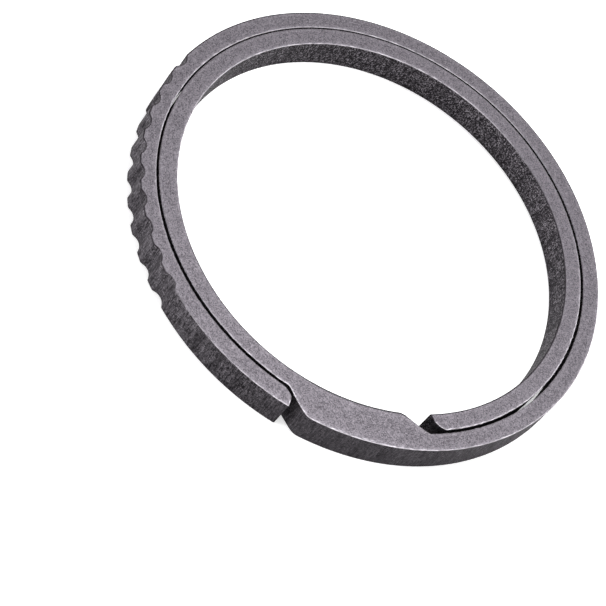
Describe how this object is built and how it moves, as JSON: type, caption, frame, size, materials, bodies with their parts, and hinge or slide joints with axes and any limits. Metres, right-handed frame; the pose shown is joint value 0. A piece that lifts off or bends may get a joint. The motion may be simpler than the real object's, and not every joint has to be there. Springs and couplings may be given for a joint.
{
  "type": "split key ring",
  "caption": "Flat side-pushing split key ring: a solid bridge and two nested springy arms with a slit between them, grip notches on the outer arm's edge.",
  "frame": {"origin": "centre of the ring's bore, on the face that it rests on", "axes": "+Z along the ring's axis, out of its upper face; +X towards the outer arm's right side, and -Y towards the bridge and the two free tips"},
  "size_m": [0.032, 0.032, 0.0022],
  "materials": {
    "blasted_titanium": "matte"
  },
  "bodies": {
    "bridge": {"bridge": "blasted_titanium"},
    "outer_arm_root": {"outer_arm_root": "blasted_titanium"},
    "outer_arm_right": {"outer_arm_right": "blasted_titanium"},
    "outer_arm_upper_right": {"outer_arm_upper_right": "blasted_titanium"},
    "outer_arm_right_of_top": {"outer_arm_right_of_top": "blasted_titanium"},
    "outer_arm_top": {"outer_arm_top": "blasted_titanium"},
    "outer_arm_left_of_top": {"outer_arm_left_of_top": "blasted_titanium"},
    "outer_arm_upper_left": {"outer_arm_upper_left": "blasted_titanium"},
    "outer_arm_grip_upper": {"outer_arm_grip_upper": "blasted_titanium"},
    "outer_arm_grip_lower": {"outer_arm_grip_lower": "blasted_titanium"},
    "outer_arm_tip": {"outer_arm_tip": "blasted_titanium"},
    "inner_arm_root": {"inner_arm_root": "blasted_titanium"},
    "inner_arm_lower_left": {"inner_arm_lower_left": "blasted_titanium"},
    "inner_arm_left": {"inner_arm_left": "blasted_titanium"},
    "inner_arm_upper_left": {"inner_arm_upper_left": "blasted_titanium"},
    "inner_arm_left_of_top": {"inner_arm_left_of_top": "blasted_titanium"},
    "inner_arm_top": {"inner_arm_top": "blasted_titanium"},
    "inner_arm_upper_right": {"inner_arm_upper_right": "blasted_titanium"},
    "inner_arm_right": {"inner_arm_right": "blasted_titanium"},
    "inner_arm_lower_right": {"inner_arm_lower_right": "blasted_titanium"},
    "inner_arm_tip": {"inner_arm_tip": "blasted_titanium"}
  },
  "joints": [
    {"name": "outer_arm_side_bend_root", "type": "hinge", "parent": "bridge", "child": "outer_arm_root", "pos_m": [0.01146, -0.01032, 0.0011], "axis": [-0.0137, 0.9999, 0], "range_deg": [-0.17823, 0.17823], "stiffness_Nm_per_rad": 0.00599},
    {"name": "outer_arm_side_bend_right", "type": "hinge", "parent": "outer_arm_root", "child": "outer_arm_right", "pos_m": [0.01516, -0.00285, 0.0011], "axis": [-0.2332, 0.9724, 0], "range_deg": [-0.69, 0.69], "stiffness_Nm_per_rad": 0.00266},
    {"name": "outer_arm_side_bend_upper_right", "type": "hinge", "parent": "outer_arm_right", "child": "outer_arm_upper_right", "pos_m": [0.01443, 0.00546, 0.0011], "axis": [-0.5758, 0.8176, 0], "range_deg": [-1.2, 1.2], "stiffness_Nm_per_rad": 0.00221},
    {"name": "outer_arm_side_bend_right_of_top", "type": "hinge", "parent": "outer_arm_upper_right", "child": "outer_arm_right_of_top", "pos_m": [0.00948, 0.01217, 0.0011], "axis": [-0.8661, 0.4999, 0], "range_deg": [-1.66, 1.66], "stiffness_Nm_per_rad": 0.00202},
    {"name": "outer_arm_side_push", "type": "hinge", "parent": "outer_arm_right_of_top", "child": "outer_arm_top", "pos_m": [0.00176, 0.01532, 0.0011], "axis": [-0.9987, -0.0511, 0], "range_deg": [-2.91, 2.91], "stiffness_Nm_per_rad": 0.00131},
    {"name": "outer_arm_pry_bend_left_of_top", "type": "hinge", "parent": "outer_arm_top", "child": "outer_arm_left_of_top", "pos_m": [-0.00647, 0.014, 0.0011], "axis": [0, 0, -1], "range_deg": [0, 1.2], "stiffness_Nm_per_rad": 0.000721},
    {"name": "outer_arm_side_bend_upper_left", "type": "hinge", "parent": "outer_arm_left_of_top", "child": "outer_arm_upper_left", "pos_m": [-0.01281, 0.00859, 0.0011], "axis": [-0.6696, -0.7427, 0], "range_deg": [-3.35, 3.35], "stiffness_Nm_per_rad": 0.00103},
    {"name": "outer_arm_pry_out", "type": "hinge", "parent": "outer_arm_upper_left", "child": "outer_arm_grip_upper", "pos_m": [-0.01541, 0.00067, 0.0011], "axis": [0, 0, -1], "range_deg": [0, 4.36], "stiffness_Nm_per_rad": 0.000815},
    {"name": "outer_arm_side_bend_grip_lower", "type": "hinge", "parent": "outer_arm_grip_upper", "child": "outer_arm_grip_lower", "pos_m": [-0.01304, -0.00824, 0.0011], "axis": [0.0902, -0.9959, 0], "range_deg": [-1.6, 1.6], "stiffness_Nm_per_rad": 0.0012},
    {"name": "outer_arm_pry_bend_tip", "type": "hinge", "parent": "outer_arm_grip_lower", "child": "outer_arm_tip", "pos_m": [-0.00602, -0.0142, 0.0011], "axis": [0, 0, -1], "range_deg": [0, 2.61], "stiffness_Nm_per_rad": 0.000785},
    {"name": "inner_arm_side_bend_root", "type": "hinge", "parent": "bridge", "child": "inner_arm_root", "pos_m": [0.00184, -0.01395, 0.0011], "axis": [0.8358, -0.5491, 0], "range_deg": [-0.22341, 0.22341], "stiffness_Nm_per_rad": 0.00621},
    {"name": "inner_arm_side_bend_lower_left", "type": "hinge", "parent": "inner_arm_root", "child": "inner_arm_lower_left", "pos_m": [-0.00583, -0.01281, 0.0011], "axis": [0.6796, -0.7336, 0], "range_deg": [-0.84, 0.84], "stiffness_Nm_per_rad": 0.00277},
    {"name": "inner_arm_side_bend_left", "type": "hinge", "parent": "inner_arm_lower_left", "child": "inner_arm_left", "pos_m": [-0.01173, -0.00777, 0.0011], "axis": [0.3439, -0.939, 0], "range_deg": [-1.43, 1.43], "stiffness_Nm_per_rad": 0.00233},
    {"name": "inner_arm_side_bend_upper_left", "type": "hinge", "parent": "inner_arm_left", "child": "inner_arm_upper_left", "pos_m": [-0.01407, -0.00038, 0.0011], "axis": [-0.0959, -0.9954, 0], "range_deg": [-1.93, 1.93], "stiffness_Nm_per_rad": 0.00215},
    {"name": "inner_arm_side_push", "type": "hinge", "parent": "inner_arm_upper_left", "child": "inner_arm_left_of_top", "pos_m": [-0.01213, 0.00714, 0.0011], "axis": [-0.6309, -0.7758, 0], "range_deg": [-3.27, 3.27], "stiffness_Nm_per_rad": 0.00141},
    {"name": "inner_arm_press_bend_top", "type": "hinge", "parent": "inner_arm_left_of_top", "child": "inner_arm_top", "pos_m": [-0.00651, 0.01248, 0.0011], "axis": [0, 0, -1], "range_deg": [0, 1.5], "stiffness_Nm_per_rad": 0.001},
    {"name": "inner_arm_side_bend_upper_right", "type": "hinge", "parent": "inner_arm_top", "child": "inner_arm_upper_right", "pos_m": [0.00109, 0.01403, 0.0011], "axis": [-0.9947, -0.1033, 0], "range_deg": [-3.5, 3.5], "stiffness_Nm_per_rad": 0.00115},
    {"name": "inner_arm_press_in", "type": "hinge", "parent": "inner_arm_upper_right", "child": "inner_arm_right", "pos_m": [0.00836, 0.01132, 0.0011], "axis": [0, 0, -1], "range_deg": [0, 4.11], "stiffness_Nm_per_rad": 0.00106},
    {"name": "inner_arm_side_bend_lower_right", "type": "hinge", "parent": "inner_arm_right", "child": "inner_arm_lower_right", "pos_m": [0.01309, 0.00518, 0.0011], "axis": [-0.7757, 0.6311, 0], "range_deg": [-1.52, 1.52], "stiffness_Nm_per_rad": 0.00141},
    {"name": "inner_arm_press_bend_tip", "type": "hinge", "parent": "inner_arm_lower_right", "child": "inner_arm_tip", "pos_m": [0.01384, -0.00254, 0.0011], "axis": [0, 0, -1], "range_deg": [0, 2.19], "stiffness_Nm_per_rad": 0.00106}
  ],
  "couplings": [
    {"joint": "outer_arm_side_bend_root", "follows": "outer_arm_side_push", "ratio": 0.061275},
    {"joint": "outer_arm_side_bend_right", "follows": "outer_arm_side_push", "ratio": 0.23709},
    {"joint": "outer_arm_side_bend_upper_right", "follows": "outer_arm_side_push", "ratio": 0.41277},
    {"joint": "outer_arm_side_bend_right_of_top", "follows": "outer_arm_side_push", "ratio": 0.57195},
    {"joint": "outer_arm_pry_bend_left_of_top", "follows": "outer_arm_pry_out", "ratio": 0.27472},
    {"joint": "outer_arm_side_bend_upper_left", "follows": "outer_arm_side_push", "ratio": 1.152},
    {"joint": "outer_arm_side_bend_grip_lower", "follows": "outer_arm_side_push", "ratio": 0.55064},
    {"joint": "outer_arm_pry_bend_tip", "follows": "outer_arm_pry_out", "ratio": 0.59901},
    {"joint": "inner_arm_side_bend_root", "follows": "inner_arm_side_push", "ratio": 0.068275},
    {"joint": "inner_arm_side_bend_lower_left", "follows": "inner_arm_side_push", "ratio": 0.25676},
    {"joint": "inner_arm_side_bend_left", "follows": "inner_arm_side_push", "ratio": 0.43566},
    {"joint": "inner_arm_side_bend_upper_left", "follows": "inner_arm_side_push", "ratio": 0.59008},
    {"joint": "inner_arm_press_bend_top", "follows": "inner_arm_press_in", "ratio": 0.36524},
    {"joint": "inner_arm_side_bend_upper_right", "follows": "inner_arm_side_push", "ratio": 1.069},
    {"joint": "inner_arm_side_bend_lower_right", "follows": "inner_arm_side_push", "ratio": 0.46472},
    {"joint": "inner_arm_press_bend_tip", "follows": "inner_arm_press_in", "ratio": 0.53266}
  ]
}
